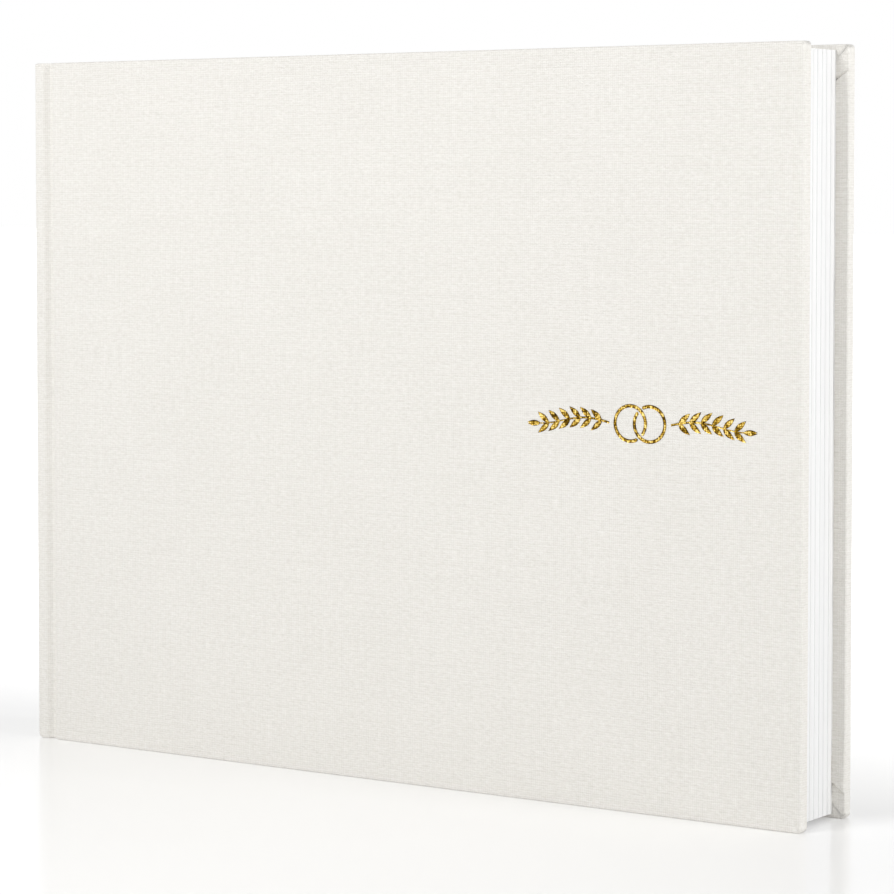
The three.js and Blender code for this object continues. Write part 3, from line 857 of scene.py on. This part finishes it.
def gold_foil():
    """Stamped foil with painted reflection and painted shade: dark olive and bright gold patches
    stand in for reflections, and the pressed edges of each line are painted brown as shade.

    The UV runs along a line and from -1 to 1 across it; the cloth's weave shows through, and the
    patch noise also gives small dents.
    """
    s = Shader("gold_foil", 0.2, Metallic=1.0)
    _, across, _ = s.axes(s.place(uv=True))
    x, _, z = s.axes(s.place())
    wander = (s.noise(s.place(), 500.0, 2.0) - 0.5) * (0.5 * MM)
    weave = weave_height(s, x, z, WEAVE, wander)
    # painted reflection: this noise's dark and bright patches in the colour stand in for
    # reflections; it also dents the bump
    glint_and_dent_noise = s.noise(s.place(), 1300.0, 3.0, 0.6)
    # painted shade: rim is 0 in a line's middle and 1 at its edges, and darkens the colour towards
    # both edges
    rim = across.math("ABSOLUTE") ** 2.5
    shade = 0.5 - rim * 0.45 + (glint_and_dent_noise - 0.5) * 2.6 + (weave - 0.5) * 0.5
    colour = s.node("ShaderNodeValToRGB", {"stops": [
        (0.0, (0.035, 0.016, 0.001)), (0.35, (0.13, 0.07, 0.004)),
        (0.62, (0.52, 0.31, 0.03)), (0.9, (1.0, 0.8, 0.28)),
    ]}, {"Fac": shade})[0]
    return s.paint(colour, rough=0.34 - rim * 0.1, bump=weave * 0.5 + glint_and_dent_noise,
                   depth=0.05 * MM, strength=1.0)


def leaf_paper():
    """Uncoated leaves: every leaf a slightly different white, with a fine tooth."""
    s = Shader("leaf_paper", 0.78)
    layer = s.noise(s.place((6, 2600, 6)), 1.0, 4.0, 0.7)
    tooth = s.noise(s.place(), 1900.0, 3.0)
    shade = ((layer - 0.5) * 2.2 + 0.6).math("MAXIMUM", 0.0).math("MINIMUM", 1.0)
    colour = s.blend(shade, (0.9, 0.9, 0.905), (0.98, 0.98, 0.975))
    return s.paint(colour, rough=tooth * 0.1 + 0.74, bump=tooth, depth=0.02 * MM, strength=0.5)


def endpaper():
    """Smooth heavy endpaper with a faint felt mark and soft clouding."""
    s = Shader("endpaper", 0.62)
    cloud = s.noise(s.place(), 60.0, 4.0, 0.6)
    felt = s.noise(s.place(), 1500.0, 3.0)
    colour = s.blend(cloud, (0.91, 0.905, 0.89), (0.96, 0.955, 0.945))
    return s.paint(colour, rough=felt * 0.12 + 0.58, bump=felt, depth=0.02 * MM, strength=0.6)


def greyboard():
    """Layered grey board with flecks of fibre."""
    s = Shader("greyboard", 0.92)
    fleck = s.noise(s.place(), 900.0, 5.0, 0.7)
    layers = s.noise(s.place((30, 1800, 30)), 1.0, 2.0)
    shade = fleck * 0.6 + layers * 0.4
    colour = s.blend(shade, (0.24, 0.22, 0.19), (0.5, 0.46, 0.4))
    return s.paint(colour, rough=fleck * 0.1 + 0.86, bump=fleck, depth=0.06 * MM, strength=0.8)


def gauze(name, colour_low, colour_high, pitch):
    """Open woven gauze: threads with dark gaps between, by |sin| along Y and Z."""
    s = Shader(name, 0.93)
    x, y, z = s.axes(s.place())
    wander = (s.noise(s.place(), 300.0, 2.0) - 0.5) * (0.8 * MM)
    weave = weave_height(s, x + y, z, pitch, wander)
    fuzz = s.noise(s.place(), 2500.0, 3.0)
    shade = (weave * 0.9 + (fuzz - 0.5) * 0.6).math("MAXIMUM", 0.0).math("MINIMUM", 1.0)
    return s.paint(s.blend(shade, colour_low, colour_high), rough=fuzz * 0.1 + 0.85,
                   bump=weave + fuzz * 0.4, depth=0.12 * MM, strength=0.9)


def thread_finish(name, low, high, slant):
    """Twisted thread: slanting plies, each a stripe of |sin| along the strand."""
    s = Shader(name, 0.6, Sheen_Weight=0.2)
    x, y, z = s.axes(s.place())
    ply = ((y + z * slant + x) * (math.pi / (0.85 * MM))).math("SINE").math("ABSOLUTE")
    hair = s.noise(s.place(), 3200.0, 3.0)
    shade = (ply * 0.8 + hair * 0.3).math("MINIMUM", 1.0)
    return s.paint(s.blend(shade, low, high), rough=hair * 0.15 + 0.5, bump=ply + hair * 0.3,
                   depth=0.06 * MM, strength=0.8)


def dried_glue():
    """Yellowish dried glue with brushed ridges."""
    s = Shader("dried_glue", 0.35)
    brushed = s.noise(s.place((500, 500, 60)), 1.0, 3.0)
    drop = s.noise(s.place(), 220.0, 2.0)
    colour = s.blend(brushed, (0.58, 0.49, 0.3), (0.8, 0.74, 0.56))
    return s.paint(colour, rough=drop * 0.3 + 0.22, bump=brushed + drop, depth=0.08 * MM,
                   strength=0.7)


def pale_floor():
    """Smooth pale floor with a soft polish, and painted light: its own glow is brighter away from
    the book, most of all behind it, where the book's shadow falls.

    Glow = FLOOR_GLOW, rising to FAR_GLOW over 0.7 m to the front or 0.16 m to the back.
    """
    s = Shader("pale_floor", 0.14, Emission_Strength=1.0)
    _, y, _ = s.axes(s.place())
    # painted light: the emission rises with distance from the book, fastest behind it, lifting the
    # book's shadow off the floor
    to_front = y * -1.4 - 0.06
    away = to_front.math("MAXIMUM", (y - 0.02) * 6.0).math("MAXIMUM", 0.0).math("MINIMUM", 1.0)
    glow = s.blend(away, (FLOOR_GLOW,) * 3, (FAR_GLOW,) * 3)
    s.feed(s.surface.inputs["Emission Color"], glow)
    haze = s.noise(s.place(), 3.0, 2.0)
    return s.paint(s.blend(haze, (0.93, 0.93, 0.93), (0.95, 0.95, 0.95)), rough=haze * 0.04 + 0.12)


def dress(piece, material):
    """Puts one material on a piece or a CAD node, in place of what it has."""
    piece.data.materials.clear()
    piece.data.materials.append(material)
    return piece


# ---------------------------------------------------------------- the book

def case_half(word, side, cloth):
    """Cloth of one half of the case: half the spine, the joint and one cover."""
    piece = case_cloth(f"{word}_case_cloth", side, stamped=side < 0)
    dress(piece, cloth)
    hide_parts(f"{word}_cover_cloth", f"{word}_joint_cloth", "spine_cloth")
    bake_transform(piece)


def endpapers(word, side, paper):
    """Pastedown and flyleaf of one side."""
    glued = dress(pastedown(f"{word}_pastedown_sheet", side), paper)
    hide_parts(f"{word}_pastedown")
    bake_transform(glued)
    free = dress(flyleaf(f"{word}_flyleaf_sheet", side, 0.1 * MM), paper)
    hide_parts(f"{word}_flyleaf", f"{word}_endpaper_fold")
    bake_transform(free)


def text_block(paper):
    """All the sewn sections."""
    for index in range(SECTIONS):
        number = index + 1
        piece = dress(folded_section(index), paper)
        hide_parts(f"section_{number}_fold", f"section_{number}_leaves")
        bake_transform(piece)


def bands(silk):
    """Head and tail band."""
    for name, end, up in (("head_band", HEAD, 1), ("tail_band", TAIL, -1)):
        piece = dress(silk_band(name, end, up), silk)
        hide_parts(name)
        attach(piece, "binding")


def ornament(foil):
    """The four foil pieces in the front cloth."""
    for word, end in (("left", -1), ("right", 1)):
        for name, maker in ((f"foil_ring_{word}", foil_ring), (f"foil_sprig_{word}", foil_sprig)):
            piece = dress(maker(name, end), foil)
            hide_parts(name)
            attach(piece, "front_cover")


def spine_linings():
    """Finishes of the CAD pieces that stay: boards, gauze, glue, thread and lining."""
    board = greyboard()
    mull = gauze("mull_gauze", (0.45, 0.42, 0.34), (0.86, 0.83, 0.75), 1.1 * MM)
    finishes = {
        "sewing_thread": thread_finish("sewing_thread", (0.6, 0.56, 0.46), (0.9, 0.87, 0.8), 1.0),
        "spine_glue": dried_glue(),
        "spine_lining": leaf_paper(),
        "mull": mull,
    }
    for name, node in NODES.items():
        if name.endswith("_board"):
            dress(node, board)
        elif name.endswith("_mull_flange"):
            dress(node, mull)
        elif name in finishes:
            dress(node, finishes[name])


cloth = linen()
white_paper = leaf_paper()
end_paper = endpaper()
case_half("front", -1, cloth)
case_half("back", 1, cloth)
ornament(gold_foil())
endpapers("front", -1, end_paper)
endpapers("back", 1, end_paper)
text_block(white_paper)
bands(thread_finish("band_silk", (0.62, 0.58, 0.48), (0.93, 0.91, 0.85), 0.0))
spine_linings()


# ---------------------------------------------------------------- floor, light and camera

dress(floor_sheet(), pale_floor())

scene = bpy.context.scene
scene.view_settings.view_transform = "Standard"
room = bpy.data.worlds.new("white_room")
room.use_nodes = True
nodes, links = room.node_tree.nodes, room.node_tree.links
seen = nodes.new("ShaderNodeLightPath")
either = nodes.new("ShaderNodeMath")
either.operation = "MAXIMUM"
level = nodes.new("ShaderNodeMapRange")
level.inputs["To Min"].default_value = ROOM_LIGHT
level.inputs["To Max"].default_value = 1.0
links.new(seen.outputs["Is Camera Ray"], either.inputs[0])
links.new(seen.outputs["Is Glossy Ray"], either.inputs[1])
links.new(either.outputs["Value"], level.inputs["Value"])
links.new(level.outputs["Result"], nodes["Background"].inputs["Strength"])
nodes["Background"].inputs["Color"].default_value = (1, 1, 1, 1)
scene.world = room

MIDDLE = (0.0, 0.0, HEIGHT / 2)
soft_light("key_softbox", (-0.35, -1.25, 0.85), MIDDLE, 0.6, 8.9)
soft_light("side_softbox", (1.5, 0.05, 0.6), MIDDLE, 0.5, 8.8)

VIEW_AZIMUTH = math.radians(34.576)
VIEW_DROP = math.radians(2.765)
VIEW_DISTANCE = 0.7856
VIEW_AIM = Vector((0.0094, 0.0, 0.1063))
LENS = 129.32
SHIFT = -0.1119

toward = Vector((-math.sin(VIEW_AZIMUTH) * math.cos(VIEW_DROP),
                 math.cos(VIEW_AZIMUTH) * math.cos(VIEW_DROP), -math.sin(VIEW_DROP)))
lens = bpy.data.cameras.new("view")
lens.lens = LENS
lens.sensor_width = 36.0
lens.shift_y = SHIFT
lens.clip_start = 0.05
lens.clip_end = 60.0
camera = bpy.data.objects.new("view", lens)
camera.location = VIEW_AIM - toward * VIEW_DISTANCE
camera.rotation_euler = toward.to_track_quat("-Z", "Y").to_euler()
scene.collection.objects.link(camera)
scene.camera = camera
